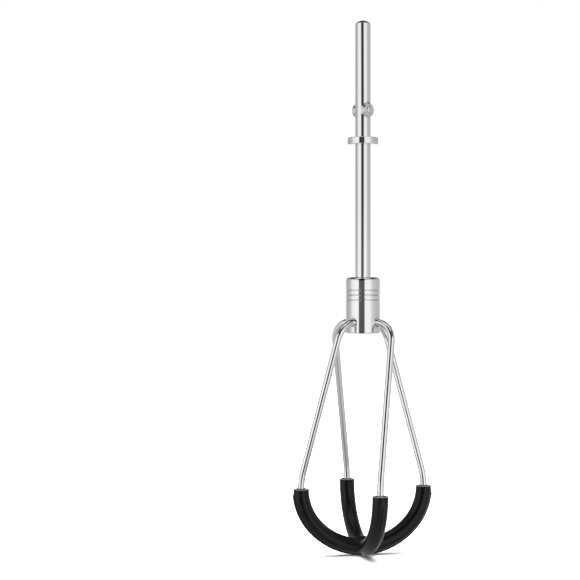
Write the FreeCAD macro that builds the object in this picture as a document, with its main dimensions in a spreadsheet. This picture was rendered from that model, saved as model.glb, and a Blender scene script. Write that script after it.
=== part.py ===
import FreeCAD, Part
import math
import os
import Sketcher

# Flex edge beater for a hand mixer, the one of the pair that carries the collar.
# The frame stands with +Z up, towards the mixer. The origin lies on the shaft's axis,
# where the shaft's round wall ends and its domed tip starts, so "drop" sizes run down from there.
# The two wire loops lie in the XZ and YZ planes where the soft edge covers them.

VECTOR = FreeCAD.Vector
UP = VECTOR(0, 0, 1)
ORIGIN = VECTOR(0, 0, 0)
HALF_TURN = 180.0
QUARTER_TURN = 90.0
FUZZ = 1e-4
LEG_COUNT = 4

SIZES = (
    ("shaft_dia", 5.5, "diameter of the drive shaft"),
    ("tip_rise", 1.2, "height of the domed tip over the round wall"),
    ("lug_drop", 30.8, "origin down to the centre of the drive lugs"),
    ("lug_dia", 5.0, "diameter of a drive lug"),
    ("lug_span", 6.4, "face to face across both lugs"),
    ("lug_turn", 32.8, "turn of the lugs' line from the YZ plane, seen from above"),
    ("lug_face_round", 0.45, "round along the edge of a lug's face"),
    ("lug_root_round", 0.45, "round between a lug and the shaft"),
    ("collar_drop", 40.55, "origin down to the collar's upper face"),
    ("collar_dia", 11.0, "diameter of the collar"),
    ("collar_height", 2.4, "height of the collar"),
    ("collar_bevel", 0.15, "bevel along the collar's outer edges"),
    ("collar_clearance", 0.02, "gap all round between collar and shaft"),
    ("hub_drop", 90.05, "origin down to the hub's upper face"),
    ("hub_dia", 12.2, "diameter of the hub"),
    ("hub_length", 19.85, "height of the hub"),
    ("hub_shoulder_round", 1.2, "round along the hub's upper edge"),
    ("hub_foot_bevel", 0.25, "bevel along the hub's lower edge"),
    ("ring_groove_drop", 4.6, "hub's upper face down to the first ring groove"),
    ("ring_groove_pitch", 1.72, "distance from one ring groove to the next"),
    ("ring_groove_count", 3, "number of ring grooves"),
    ("ring_groove_width", 0.5, "width of a ring groove at the hub's wall"),
    ("ring_groove_depth", 0.22, "depth of a ring groove"),
    ("socket_depth", 12.0, "depth of the hub's socket for the shaft"),
    ("socket_clearance", 0.02, "gap all round between shaft and socket"),
    ("wire_dia", 2.4, "diameter of the wire"),
    ("wire_hole_rise", 3.9, "hub's lower face up to the wire holes"),
    ("wire_hole_floor", 2.3, "shaft's axis out to the flat floor of a wire hole"),
    ("wire_hole_clearance", 0.02, "gap all round between wire and hole"),
    ("wire_hole_flare", 0.5, "width of the flare at the mouth of a wire hole"),
    ("leg_twist", 40.1, "turn of a wire from the soft edge up to its hole in the hub"),
    ("elbow_reach", 12.7, "shaft's axis out to the corner of a wire's upper bend"),
    ("elbow_radius", 7.4, "radius of a wire's upper bend, on the wire's centre line"),
    ("ankle_rise", 3.2, "end of the soft edge up to the corner of a wire's lower bend"),
    ("cage_drop", 164.6, "origin down to the ends of the soft edge"),
    ("cage_half_width", 22.5, "shaft's axis out to the wire where it enters the soft edge"),
    ("crossing_gap", 0.3, "gap between the two wires where one passes over the other"),
    ("edge_dia", 5.5, "diameter of the soft edge round the wire"),
    ("edge_side_radius", 19.7, "radius of the soft edge's bends at its sides"),
    ("edge_bottom_angle", 47.0, "half of the angle that the soft edge's flatter bottom spans"),
    ("edge_clearance", 0.02, "gap all round between wire and soft edge"),
    ("crown_radius", 3.3, "radius of the soft knot over the crossing"),
    ("crown_rise", 0.3, "height of the knot's centre over the soft edge's centre line"),
    ("rim_rise", 0.45, "height of the scraping rim over the round soft edge"),
    ("rim_width", 1.3, "width of the scraping rim"),
    ("rim_start", 0.8, "end of the soft edge down to where its rim starts to rise"),
    ("rim_ramp", 2.0, "height over which the rim rises to its full size"),
    ("recess_dia", 3.7, "diameter of the recess round the wire at an end of the soft edge"),
    ("recess_depth", 0.5, "depth of that recess"),
)

PARTS_FOLDER = "parts"

doc = FreeCAD.newDocument("flex_edge_beater")

sheet = doc.addObject("Spreadsheet::Sheet", "Sizes")
for row, (alias, size, meaning) in enumerate(SIZES, start=1):
    sheet.set(f"A{row}", meaning)
    sheet.set(f"B{row}", str(size))
    sheet.setAlias(f"B{row}", alias)
doc.recompute()


def value(expression):
    """The number that an expression on the sheet gives."""
    return float(sheet.evalExpression(expression))


# Sizes that follow from the sheet's cells
SHAFT_RADIUS = "Sizes.shaft_dia / 2"
DOME_RADIUS = "((Sizes.shaft_dia / 2)^2 + Sizes.tip_rise^2) / (2 * Sizes.tip_rise)"
SHAFT_FOOT = "-(Sizes.hub_drop + Sizes.socket_depth)"
HUB_RADIUS = "Sizes.hub_dia / 2"
HUB_FOOT = "-(Sizes.hub_drop + Sizes.hub_length)"
WIRE_HOLE_HEIGHT = "-(Sizes.hub_drop + Sizes.hub_length - Sizes.wire_hole_rise)"
WIRE_HOLE_RADIUS = "(Sizes.wire_dia / 2 + Sizes.wire_hole_clearance)"
EDGE_RADIUS = "Sizes.edge_dia / 2"
# A bottom curve is a side bend, a flatter bottom arc and a side bend, so its depth is
# the side radius plus the rest of the half width times the tangent of half the bottom angle.
# The two wires lie under and over the soft edge's centre line by half of their stagger.
STAGGER_RADIUS = "((Sizes.wire_dia + Sizes.crossing_gap) / 2 / (1 - tan(Sizes.edge_bottom_angle / 2)))"
UNDER_SIDE_RADIUS = f"(Sizes.edge_side_radius + {STAGGER_RADIUS})"
OVER_SIDE_RADIUS = f"(Sizes.edge_side_radius - {STAGGER_RADIUS})"
CHANNEL_RADIUS = "(Sizes.wire_dia / 2 + Sizes.edge_clearance)"


# Helpers for sketches
def add_sketch(body, name, role, lift=None, turn=None):
    """A sketch on one of the body's origin planes, lifted along the plane's normal or turned about Z."""
    plane = next(item for item in body.Origin.OriginFeatures if item.Role == role)
    sketch = body.newObject("Sketcher::SketchObject", name)
    sketch.AttachmentSupport = [(plane, "")]
    sketch.MapMode = "FlatFace"
    if turn:
        up_in_plane = VECTOR(0, 1, 0) if role == "XZ_Plane" else UP
        sketch.AttachmentOffset = FreeCAD.Placement(ORIGIN, FreeCAD.Rotation(up_in_plane, value(turn)))
        sketch.setExpression("AttachmentOffset.Rotation.Angle", turn)
    if lift:
        sketch.setExpression("AttachmentOffset.Base.z", lift)
    return sketch


def bind(sketch, kind, references, expression):
    """A dimension whose value follows an expression."""
    index = sketch.addConstraint(Sketcher.Constraint(kind, *references, value(expression)))
    sketch.setExpression(f"Constraints[{index}]", expression)


def place_point(sketch, geometry, end, across, up):
    """Holds one point of a sketch at distances from its origin."""
    bind(sketch, "DistanceX", (-1, 1, geometry, end), across)
    bind(sketch, "DistanceY", (-1, 1, geometry, end), up)


def join(sketch, first, second):
    """Makes the end of one edge the start of the next."""
    sketch.addConstraint(Sketcher.Constraint("Coincident", first, 2, second, 1))


def sketch_line(sketch, start, end):
    """A straight edge, and its number in the sketch."""
    return sketch.addGeometry(Part.LineSegment(start, end), False)


def draw_outline(sketch, corners):
    """A closed outline of straight edges through corners given as pairs of expressions."""
    start = sketch.GeometryCount
    spots = [VECTOR(value(across), value(up), 0) for across, up in corners]
    for spot, following in zip(spots, spots[1:] + spots[:1]):
        sketch.addGeometry(Part.LineSegment(spot, following), False)
    for index, (across, up) in enumerate(corners):
        join(sketch, start + index, start + (index + 1) % len(corners))
        place_point(sketch, start + index, 1, across, up)


def draw_circle(sketch, across, up, radius):
    """A circle whose centre and radius are expressions."""
    centre = VECTOR(value(across), value(up), 0)
    index = sketch.addGeometry(Part.Circle(centre, UP, value(radius)), False)
    place_point(sketch, index, 3, across, up)
    bind(sketch, "Radius", (index,), radius)


def draw_arc(sketch, centre, radius, first_angle, last_angle):
    """An arc, drawn anticlockwise, whose centre and radius are expressions."""
    circle = Part.Circle(VECTOR(value(centre[0]), value(centre[1]), 0), UP, value(radius))
    arc = Part.ArcOfCircle(circle, math.radians(first_angle), math.radians(last_angle))
    index = sketch.addGeometry(arc, False)
    place_point(sketch, index, 3, *centre)
    bind(sketch, "Radius", (index,), radius)
    return index


# Helpers for features
def revolve(body, kind, name, sketch, axis):
    """A full turn of a sketch about one of its axes, added or cut."""
    feature = body.newObject(f"PartDesign::{kind}", name)
    feature.Profile = sketch
    feature.ReferenceAxis = (sketch, [axis])
    feature.Angle = 360.0
    return feature


def find_edges(feature, test):
    """The names of a feature's edges that pass a test."""
    numbered = enumerate(feature.Shape.Edges, start=1)
    return [f"Edge{number}" for number, edge in numbered if not edge.Degenerated and test(edge)]


def is_level(edge):
    """Says whether an edge lies in one level plane."""
    return edge.BoundBox.ZLength < FUZZ


def round_edges(body, name, base, edges, size):
    """A fillet whose radius follows a cell."""
    feature = body.newObject("PartDesign::Fillet", name)
    feature.Base = (base, edges)
    feature.setExpression("Radius", size)
    return feature


# Drive shaft: a round bar with a domed tip and two lugs coined out of it
def make_drive_shaft():
    body = doc.addObject("PartDesign::Body", "drive_shaft")
    section = add_sketch(body, "ShaftSection", "XZ_Plane")
    radius = value(SHAFT_RADIUS)
    foot = value(SHAFT_FOOT)
    floor_line = sketch_line(section, VECTOR(0, foot, 0), VECTOR(radius, foot, 0))
    wall_line = sketch_line(section, VECTOR(radius, foot, 0), VECTOR(radius, 0, 0))
    half_angle = math.degrees(math.asin(radius / value(DOME_RADIUS)))
    dome_centre = ("0", f"Sizes.tip_rise - {DOME_RADIUS}")
    dome = draw_arc(section, dome_centre, DOME_RADIUS, QUARTER_TURN - half_angle, QUARTER_TURN)
    axis_line = sketch_line(section, VECTOR(0, value("Sizes.tip_rise"), 0), VECTOR(0, foot, 0))
    outline = (floor_line, wall_line, dome, axis_line)
    for edge, following in zip(outline, outline[1:] + outline[:1]):
        join(section, edge, following)
    place_point(section, floor_line, 1, "0", SHAFT_FOOT)
    place_point(section, wall_line, 1, SHAFT_RADIUS, SHAFT_FOOT)
    bind(section, "DistanceX", (-1, 1, wall_line, 2), SHAFT_RADIUS)
    bind(section, "DistanceX", (-1, 1, dome, 2), "0")
    revolve(body, "Revolution", "ShaftBar", section, "V_Axis")
    doc.recompute()

    lug_circle = add_sketch(body, "LugCircle", "XZ_Plane", turn="Sizes.lug_turn")
    draw_circle(lug_circle, "0", "-Sizes.lug_drop", "Sizes.lug_dia / 2")
    lugs = body.newObject("PartDesign::Pad", "Lugs")
    lugs.Profile = lug_circle
    lugs.SideType = "Symmetric"
    lugs.setExpression("Length", "Sizes.lug_span")
    doc.recompute()

    lug_centre = VECTOR(0, 0, -value("Sizes.lug_drop"))
    face_reach = value("Sizes.lug_span") / 2
    lug_line = FreeCAD.Rotation(UP, value("Sizes.lug_turn")).multVec(VECTOR(0, 1, 0))

    def lug_side(edge):
        """How far an edge's middle lies from the shaft's axis, along the lugs' line."""
        return abs((edge.BoundBox.Center - lug_centre).dot(lug_line))

    def is_face_edge(edge):
        return abs(lug_side(edge) - face_reach) < FUZZ

    faces = find_edges(lugs, is_face_edge)
    face_round = round_edges(body, "LugFaceRound", lugs, faces, "Sizes.lug_face_round")
    doc.recompute()

    def is_root_edge(edge):
        spots = edge.discretize(9)
        on_wall = all(abs(math.hypot(spot.x, spot.y) - value(SHAFT_RADIUS)) < FUZZ for spot in spots)
        on_lug = all(abs(spot.z - lug_centre.z) < value("Sizes.lug_dia") / 2 + FUZZ for spot in spots)
        return on_wall and on_lug

    roots = find_edges(face_round, is_root_edge)
    round_edges(body, "LugRootRound", face_round, roots, "Sizes.lug_root_round")
    doc.recompute()
    return body


# Collar: a turned ring pressed on the shaft, which tells this beater's socket from the other's
def make_collar():
    body = doc.addObject("PartDesign::Body", "collar")
    section = add_sketch(body, "CollarSection", "XZ_Plane")
    bore = f"{SHAFT_RADIUS} + Sizes.collar_clearance"
    wall = "Sizes.collar_dia / 2"
    top = "-Sizes.collar_drop"
    foot = "-(Sizes.collar_drop + Sizes.collar_height)"
    draw_outline(section, (
        (bore, top),
        (f"{wall} - Sizes.collar_bevel", top),
        (wall, f"{top} - Sizes.collar_bevel"),
        (wall, f"{foot} + Sizes.collar_bevel"),
        (f"{wall} - Sizes.collar_bevel", foot),
        (bore, foot),
    ))
    revolve(body, "Revolution", "CollarRing", section, "V_Axis")
    doc.recompute()
    return body


# Hub: a turned block with a blind socket for the shaft and four blind holes for the wires' ends
def make_hub():
    body = doc.addObject("PartDesign::Body", "hub")
    section = add_sketch(body, "HubSection", "XZ_Plane")
    draw_outline(section, (
        ("0", "-Sizes.hub_drop"),
        (HUB_RADIUS, "-Sizes.hub_drop"),
        (HUB_RADIUS, f"{HUB_FOOT} + Sizes.hub_foot_bevel"),
        (f"{HUB_RADIUS} - Sizes.hub_foot_bevel", HUB_FOOT),
        ("0", HUB_FOOT),
    ))
    block = revolve(body, "Revolution", "HubBlock", section, "V_Axis")
    doc.recompute()

    hub_top = -value("Sizes.hub_drop")
    rim = find_edges(block, lambda edge: is_level(edge) and abs(edge.BoundBox.ZMax - hub_top) < FUZZ)
    round_edges(body, "HubShoulder", block, rim, "Sizes.hub_shoulder_round")
    doc.recompute()

    groove_section = add_sketch(body, "RingGrooveSection", "XZ_Plane")
    level = "(-(Sizes.hub_drop + Sizes.ring_groove_drop))"
    mouth = f"{HUB_RADIUS} + Sizes.ring_groove_depth"
    draw_outline(groove_section, (
        (f"{HUB_RADIUS} - Sizes.ring_groove_depth", level),
        (mouth, f"{level} + Sizes.ring_groove_width"),
        (mouth, f"{level} - Sizes.ring_groove_width"),
    ))
    groove = revolve(body, "Groove", "RingGroove", groove_section, "V_Axis")
    doc.recompute()
    grooves = body.newObject("PartDesign::LinearPattern", "RingGrooves")
    grooves.Originals = [groove]
    grooves.Direction = (groove_section, ["V_Axis"])
    grooves.Reversed = True
    grooves.setExpression("Occurrences", "Sizes.ring_groove_count")
    grooves.setExpression("Length", "Sizes.ring_groove_pitch * (Sizes.ring_groove_count - 1)")
    body.Tip = grooves
    doc.recompute()

    mouth_circle = add_sketch(body, "SocketCircle", "XY_Plane", lift="-Sizes.hub_drop")
    draw_circle(mouth_circle, "0", "0", f"{SHAFT_RADIUS} + Sizes.socket_clearance")
    socket = body.newObject("PartDesign::Pocket", "Socket")
    socket.Profile = mouth_circle
    socket.setExpression("Length", "Sizes.socket_depth")
    doc.recompute()

    hole_section = add_sketch(body, "WireHoleSection", "XY_Plane", lift=WIRE_HOLE_HEIGHT, turn="Sizes.leg_twist")
    flare_foot = f"{HUB_RADIUS} - Sizes.wire_hole_flare"
    outside = f"{HUB_RADIUS} + Sizes.wire_hole_flare"
    draw_outline(hole_section, (
        ("Sizes.wire_hole_floor", "0"),
        (outside, "0"),
        (outside, f"{WIRE_HOLE_RADIUS} + 2 * Sizes.wire_hole_flare"),
        (flare_foot, WIRE_HOLE_RADIUS),
        ("Sizes.wire_hole_floor", WIRE_HOLE_RADIUS),
    ))
    hole = revolve(body, "Groove", "WireHole", hole_section, "H_Axis")
    doc.recompute()
    holes = body.newObject("PartDesign::PolarPattern", "WireHoles")
    holes.Originals = [hole]
    holes.Axis = (section, ["V_Axis"])
    holes.Angle = 360.0
    holes.Occurrences = LEG_COUNT
    body.Tip = holes
    doc.recompute()
    return body


# Wire loops: each runs from one hub hole out, down a leaning leg, round the bottom and up to the opposite hole
def bottom_depth(side_radius):
    """How deep a bottom curve of a given side radius hangs under the cage's ends."""
    half_width = value("Sizes.cage_half_width")
    half_angle = math.radians(value("Sizes.edge_bottom_angle"))
    return side_radius + (half_width - side_radius) * math.tan(half_angle / 2)


def arc_through(spots):
    """An arc edge through three points."""
    return Part.Arc(*spots).toShape()


def bend_points(corner, incoming, outgoing, setback):
    """Start, middle and end of the arc that turns a corner, from the length that it takes of each side."""
    turn = incoming.getAngle(outgoing)
    radius = setback / math.tan(turn / 2)
    inward = (outgoing - incoming).normalize()
    middle = corner + inward * (radius / math.cos(turn / 2) - radius)
    return corner - incoming * setback, middle, corner + outgoing * setback


def loop_edges(side_radius):
    """The edges of a wire's centre line, in order, for the loop in the XZ plane."""
    half_width = value("Sizes.cage_half_width")
    ends = -value("Sizes.cage_drop")
    twist = math.radians(value("Sizes.leg_twist"))
    outward = VECTOR(math.cos(twist), math.sin(twist), 0)
    hole_height = UP * value(WIRE_HOLE_HEIGHT)
    elbow = outward * value("Sizes.elbow_reach") + hole_height
    ankle = VECTOR(half_width, 0, ends + value("Sizes.ankle_rise"))
    leg = (ankle - elbow).normalize()
    elbow_setback = value("Sizes.elbow_radius") * math.tan(outward.getAngle(leg) / 2)
    elbow_arc = bend_points(elbow, outward, leg, elbow_setback)
    ankle_arc = bend_points(ankle, leg, -UP, value("Sizes.ankle_rise"))

    half_angle = math.radians(value("Sizes.edge_bottom_angle"))
    side_centre = VECTOR(half_width - side_radius, 0, ends)

    def side_point(angle):
        return side_centre + VECTOR(math.cos(angle), 0, -math.sin(angle)) * side_radius

    side_sweep = math.pi / 2 - half_angle
    side_end = side_point(side_sweep)
    lowest = VECTOR(0, 0, ends - bottom_depth(side_radius))
    half = [
        Part.LineSegment(outward * value("Sizes.wire_hole_floor") + hole_height, elbow_arc[0]).toShape(),
        arc_through(elbow_arc),
        Part.LineSegment(elbow_arc[2], ankle_arc[0]).toShape(),
        arc_through(ankle_arc),
        arc_through((side_point(0), side_point(side_sweep / 2), side_end)),
    ]
    bottom = arc_through((side_end, lowest, VECTOR(-side_end.x, 0, side_end.z)))
    other_half = [edge.rotated(ORIGIN, UP, HALF_TURN) for edge in reversed(half)]
    return half + [bottom] + other_half


def make_wire_loop(name, side_radius, turn):
    """A round wire swept along its centre line, turned about the shaft's axis."""
    centre_line = doc.addObject("Part::Feature", f"{name}_centre_line")
    centre_line.Shape = Part.Wire(loop_edges(value(side_radius)))
    centre_line.Placement = FreeCAD.Placement(ORIGIN, FreeCAD.Rotation(UP, turn))
    first_edge = centre_line.Shape.Edges[0]
    ring = doc.addObject("Part::Circle", f"{name}_section")
    ring.setExpression("Radius", "Sizes.wire_dia / 2")
    facing = FreeCAD.Rotation(UP, first_edge.tangentAt(first_edge.FirstParameter))
    ring.Placement = FreeCAD.Placement(first_edge.firstVertex().Point, facing)
    loop = doc.addObject("Part::Sweep", name)
    loop.Sections = [ring]
    loop.Spine = (centre_line, [f"Edge{number + 1}" for number in range(len(centre_line.Shape.Edges))])
    loop.Solid = True
    loop.Frenet = False
    doc.recompute()
    return loop


# Soft edge: a silicone cross moulded over both wires, with a raised rim that wipes the bowl
def draw_bottom_curve(sketch, side_radius, offset, level):
    """Two side bends and the bottom arc between them, offset outwards, with both ends at a level.

    Returns the numbers of the left and the right side bend.
    """
    rest = f"(Sizes.cage_half_width - {side_radius})"
    radius_gain = f"({rest} / sin(Sizes.edge_bottom_angle))"
    bend_level = "-Sizes.cage_drop"
    bottom_centre = ("0", f"{bend_level} + {radius_gain} * cos(Sizes.edge_bottom_angle)")
    bend_radius = f"({side_radius} + {offset})"
    bottom_radius = f"({side_radius} + {radius_gain} + {offset})"
    half_angle = value("Sizes.edge_bottom_angle")
    rise_angle = math.degrees(math.asin((value(level) - value(bend_level)) / value(bend_radius)))
    down = 3 * QUARTER_TURN
    right = draw_arc(sketch, (rest, bend_level), bend_radius, down + half_angle, 4 * QUARTER_TURN + rise_angle)
    left = draw_arc(sketch, (f"-{rest}", bend_level), bend_radius, HALF_TURN - rise_angle, down - half_angle)
    middle = VECTOR(value(bottom_centre[0]), value(bottom_centre[1]), 0)
    circle = Part.Circle(middle, UP, value(bottom_radius))
    span = Part.ArcOfCircle(circle, math.radians(down - half_angle), math.radians(down + half_angle))
    bottom = sketch.addGeometry(span, False)
    sketch.addConstraint(Sketcher.Constraint("Tangent", left, 2, bottom, 1))
    sketch.addConstraint(Sketcher.Constraint("Tangent", bottom, 2, right, 1))
    bind(sketch, "Radius", (bottom,), bottom_radius)
    bind(sketch, "DistanceY", (-1, 1, right, 2), level)
    bind(sketch, "DistanceY", (-1, 1, left, 1), level)
    return left, right


def add_bottom_path(body, name, role, side_radius):
    """A sketch with one bottom curve as a path for a sweep."""
    sketch = add_sketch(body, name, role)
    draw_bottom_curve(sketch, side_radius, "0", "-Sizes.cage_drop")
    return sketch


def add_end_circle(body, name, turn, radius):
    """A sketch at the level of the soft edge's ends with one circle round the wire."""
    sketch = add_sketch(body, name, "XY_Plane", lift="-Sizes.cage_drop", turn=turn)
    draw_circle(sketch, "-Sizes.cage_half_width", "0", radius)
    return sketch


def draw_rim_outline(sketch):
    """The rim's outline from the side: a crescent whose ends slant up out of the round edge."""
    start_level = "-(Sizes.cage_drop + Sizes.rim_start)"
    full_level = "-(Sizes.cage_drop + Sizes.rim_start + Sizes.rim_ramp)"
    wall = f"sqrt(({EDGE_RADIUS})^2 - (Sizes.rim_width / 2)^2)"
    crest = f"({EDGE_RADIUS} + Sizes.rim_rise)"
    inner = draw_bottom_curve(sketch, "Sizes.edge_side_radius", f"{EDGE_RADIUS} / 2", start_level)
    outer = draw_bottom_curve(sketch, "Sizes.edge_side_radius", crest, full_level)
    for side, inner_arc, outer_arc, end in (("-", inner[0], outer[0], 1), ("", inner[1], outer[1], 2)):
        across = f"{side}(Sizes.cage_half_width + {wall})"
        corner = VECTOR(value(across), value(start_level), 0)
        ledge = sketch_line(sketch, sketch.getPoint(inner_arc, end), corner)
        slant = sketch_line(sketch, corner, sketch.getPoint(outer_arc, end))
        sketch.addConstraint(Sketcher.Constraint("Coincident", inner_arc, end, ledge, 1))
        join(sketch, ledge, slant)
        sketch.addConstraint(Sketcher.Constraint("Coincident", slant, 2, outer_arc, end))
        place_point(sketch, slant, 1, across, start_level)


def sweep_along(body, kind, name, section, path):
    """A section swept along a path, added or cut."""
    doc.recompute()
    feature = body.newObject(f"PartDesign::{kind}", name)
    feature.Profile = section
    feature.Spine = (path, [f"Edge{number + 1}" for number in range(len(path.Shape.Edges))])
    doc.recompute()
    return feature


def make_flex_edge():
    body = doc.addObject("PartDesign::Body", "flex_edge")
    lines = (
        ("Wide", "XZ_Plane", "0", UNDER_SIDE_RADIUS),
        ("Cross", "YZ_Plane", "90", OVER_SIDE_RADIUS),
    )
    for word, role, turn, _ in lines:
        path = add_bottom_path(body, f"{word}ArmPath", role, "Sizes.edge_side_radius")
        section = add_end_circle(body, f"{word}ArmSection", turn, EDGE_RADIUS)
        sweep_along(body, "AdditivePipe", f"{word}Arms", section, path)
    for word, role, _, _ in lines:
        outline = add_sketch(body, f"{word}RimOutline", role)
        draw_rim_outline(outline)
        rim = body.newObject("PartDesign::Pad", f"{word}Rim")
        rim.Profile = outline
        rim.SideType = "Symmetric"
        rim.setExpression("Length", "Sizes.rim_width")
        doc.recompute()
    crown = body.newObject("PartDesign::AdditiveSphere", "Crown")
    plane = next(item for item in body.Origin.OriginFeatures if item.Role == "XY_Plane")
    crown.AttachmentSupport = [(plane, "")]
    crown.MapMode = "FlatFace"
    crown.setExpression("Radius", "Sizes.crown_radius")
    rest = "(Sizes.cage_half_width - Sizes.edge_side_radius)"
    depth = f"(Sizes.edge_side_radius + {rest} * tan(Sizes.edge_bottom_angle / 2))"
    crown.setExpression("AttachmentOffset.Base.z", f"-Sizes.cage_drop - {depth} + Sizes.crown_rise")
    doc.recompute()
    for word, role, turn, side_radius in lines:
        path = add_bottom_path(body, f"{word}ChannelPath", role, side_radius)
        section = add_end_circle(body, f"{word}ChannelSection", turn, CHANNEL_RADIUS)
        sweep_along(body, "SubtractivePipe", f"{word}Channel", section, path)
    mouth = add_end_circle(body, "RecessCircle", "0", "Sizes.recess_dia / 2")
    recess = body.newObject("PartDesign::Pocket", "Recess")
    recess.Profile = mouth
    recess.setExpression("Length", "Sizes.recess_depth")
    doc.recompute()
    recesses = body.newObject("PartDesign::PolarPattern", "Recesses")
    recesses.Originals = [recess]
    recesses.Axis = (mouth, ["N_Axis"])
    recesses.Angle = 360.0
    recesses.Occurrences = LEG_COUNT
    body.Tip = recesses
    doc.recompute()
    return body


def write_pieces(pieces):
    """Writes each piece to a file of its own, once the whole model has come out sound."""
    for item in doc.Objects:
        if "Invalid" in item.State or "Error" in item.State:
            raise RuntimeError(f"{item.Name} did not compute: {item.getStatusString()}")
    os.makedirs(PARTS_FOLDER, exist_ok=True)
    for piece in pieces:
        shape = piece.Shape
        if shape.isNull() or not shape.isValid() or len(shape.Solids) != 1:
            raise RuntimeError(f"{piece.Label} is not one sound solid")
        print(piece.Label, "volume", round(shape.Volume, 1), "faces", len(shape.Faces))
        shape.exportStep(f"{PARTS_FOLDER}/{piece.Label}.step")


def main():
    write_pieces((
        make_drive_shaft(),
        make_collar(),
        make_hub(),
        make_wire_loop("wire_loop_under", UNDER_SIDE_RADIUS, 0),
        make_wire_loop("wire_loop_over", OVER_SIDE_RADIUS, QUARTER_TURN),
        make_flex_edge(),
    ))


main()
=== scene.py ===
"""Looks of a hand mixer's flex edge beater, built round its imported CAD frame."""

import math

import bmesh
import bpy
from mathutils import Matrix, Vector


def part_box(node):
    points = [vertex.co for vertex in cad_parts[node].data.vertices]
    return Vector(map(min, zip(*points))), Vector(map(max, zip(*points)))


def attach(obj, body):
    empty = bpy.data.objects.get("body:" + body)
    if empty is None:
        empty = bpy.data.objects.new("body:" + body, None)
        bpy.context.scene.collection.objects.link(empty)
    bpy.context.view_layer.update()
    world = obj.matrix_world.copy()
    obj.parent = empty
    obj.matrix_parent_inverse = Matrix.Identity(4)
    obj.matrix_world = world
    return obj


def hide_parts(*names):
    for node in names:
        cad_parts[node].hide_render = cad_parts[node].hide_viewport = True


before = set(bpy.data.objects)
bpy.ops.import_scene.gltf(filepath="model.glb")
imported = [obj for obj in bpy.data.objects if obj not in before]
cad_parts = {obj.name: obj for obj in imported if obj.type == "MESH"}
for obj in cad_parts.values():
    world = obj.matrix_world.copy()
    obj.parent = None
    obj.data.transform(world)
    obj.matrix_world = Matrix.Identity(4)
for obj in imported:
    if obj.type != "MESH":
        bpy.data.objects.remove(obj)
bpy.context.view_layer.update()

bl_info = {
    "name": "Flex Edge Beater",
    "version": (1, 0, 0),
    "blender": (4, 5, 0),
    "location": "View3D > Sidebar > Beater",
    "description": "Wires, moulded edge, finishes and studio of a hand mixer's flex edge beater",
    "category": "Object",
}

MM = 0.001
BODY = "root"
UP = Vector((0, 0, 1))
ARMS = 4
QUARTER = math.pi / 2

# Places that the CAD frame sets, in metres
HUB_LOW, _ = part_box("hub")
EDGE_LOW, EDGE_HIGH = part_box("flex_edge")
CAGE_END = EDGE_HIGH.z

# Wire holes in the hub: rise over its lower face, floor out from the shaft's axis
WIRE_HOLE_RISE = 3.9 * MM
WIRE_HOLE_FLOOR = 2.3 * MM
HOLE_HEIGHT = HUB_LOW.z + WIRE_HOLE_RISE

# Lugs: drop below the frame's origin, which lies where the shaft's domed tip starts; face out
# from the axis; turn from +Y about the axis
LUG_DROP = 30.8 * MM
LUG_REACH = 3.2 * MM
LUG_TURN = math.radians(32.8)

# Half profile of the button coined on a lug's face: out from its centre, up from the face
LUG_BUTTON = tuple((radius * MM, height * MM) for radius, height in (
    (0.2, 0.46), (0.5, 0.45), (0.8, 0.43), (1.05, 0.39), (1.22, 0.33), (1.36, 0.24),
    (1.46, 0.12), (1.51, 0.0), (1.52, -0.05)))
BUTTON_FACETS = 36

# Steps along a wire's bends and bottom arcs, facets round it, and how near its points are merged
ELBOW_STEPS = 28
ANKLE_STEPS = 10
WIRE_ARC_STEPS = 24
WIRE_FACETS = 48
WIRE_MERGE = 1e-7

# Steps of the moulded edge: round its section, in a corner of its rim, round its lip, along an
# arm's side and bottom, and along a wire's channel
SECTION_STEPS = 22
CORNER_STEPS = 5
LIP_STEPS = 4
ARM_SIDE_STEPS = 44
ARM_BOTTOM_STEPS = 48
CHANNEL_STEPS = 30

# How near the moulded edge's points are merged, and the shortest edge that stays
EDGE_MERGE = 2e-6
SHORTEST_EDGE = 1e-7

# Ends of the moulded edge: round of the lip, clearance round the wire, rounds of the recess
LIP_ROUND = 0.22 * MM
WIRE_CLEARANCE = 0.02 * MM
RECESS_EASE = 0.1 * MM
RECESS_BEVEL = 0.08 * MM
MOUTH_OUT, MOUTH_DOWN = 0.03 * MM, 0.02 * MM
# Painted highlight: how far the recess mouth, the flat end and the lip are painted paler
HIGHLIGHT_MOUTH, HIGHLIGHT_FLAT, HIGHLIGHT_LIP = 0.35, 0.7, 1.0

# Crossing of the moulded edge: reach of the smoothing, how full it is there, its rounds and pull,
# share of the edge down to the rim, and how the knot blends and fades in
CROSSING_REACH = 6.5 * MM
CROSSING_FULLNESS = 1.4
CROSSING_ROUNDS = 26
CROSSING_PULL = 0.5
RIM_SHARE = 0.36
KNOT_BLEND = 0.5 * MM
KNOT_FADE = 0.6 * MM

# Steel: stretch of the handling marks, where they start and how much rougher they are, parts of
# grain and cloud in the blend, its darkest colour, and strength and depth of the grain
MARK_STRETCH = (900.0, 900.0, 260.0)
MARK_SPAN = (0.66, 0.78)
MARK_ROUGHNESS = 0.08
GRAIN_PART, CLOUD_PART = 0.65, 0.35
DARKEST_STEEL = 0.94
GRAIN_BUMP = (0.12, 0.00001)

# Silicone: darkest and lightest colour, roughness, strength and depth of its orange peel, and
# the paler colour painted on its lips and ends as a painted highlight
DARKEST_SILICONE, LIGHTEST_SILICONE = 0.7, 1.5
SILICONE_ROUGHNESS = (0.25, 0.33)
PEEL_BUMP = (0.18, 0.00002)
HIGHLIGHT_COLOUR = (0.13, 0.13, 0.135)

# Middle of a noise's values, and a full share
NOISE_SPAN = (0.3, 0.7)
WHOLE = (0.0, 1.0)

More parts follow.
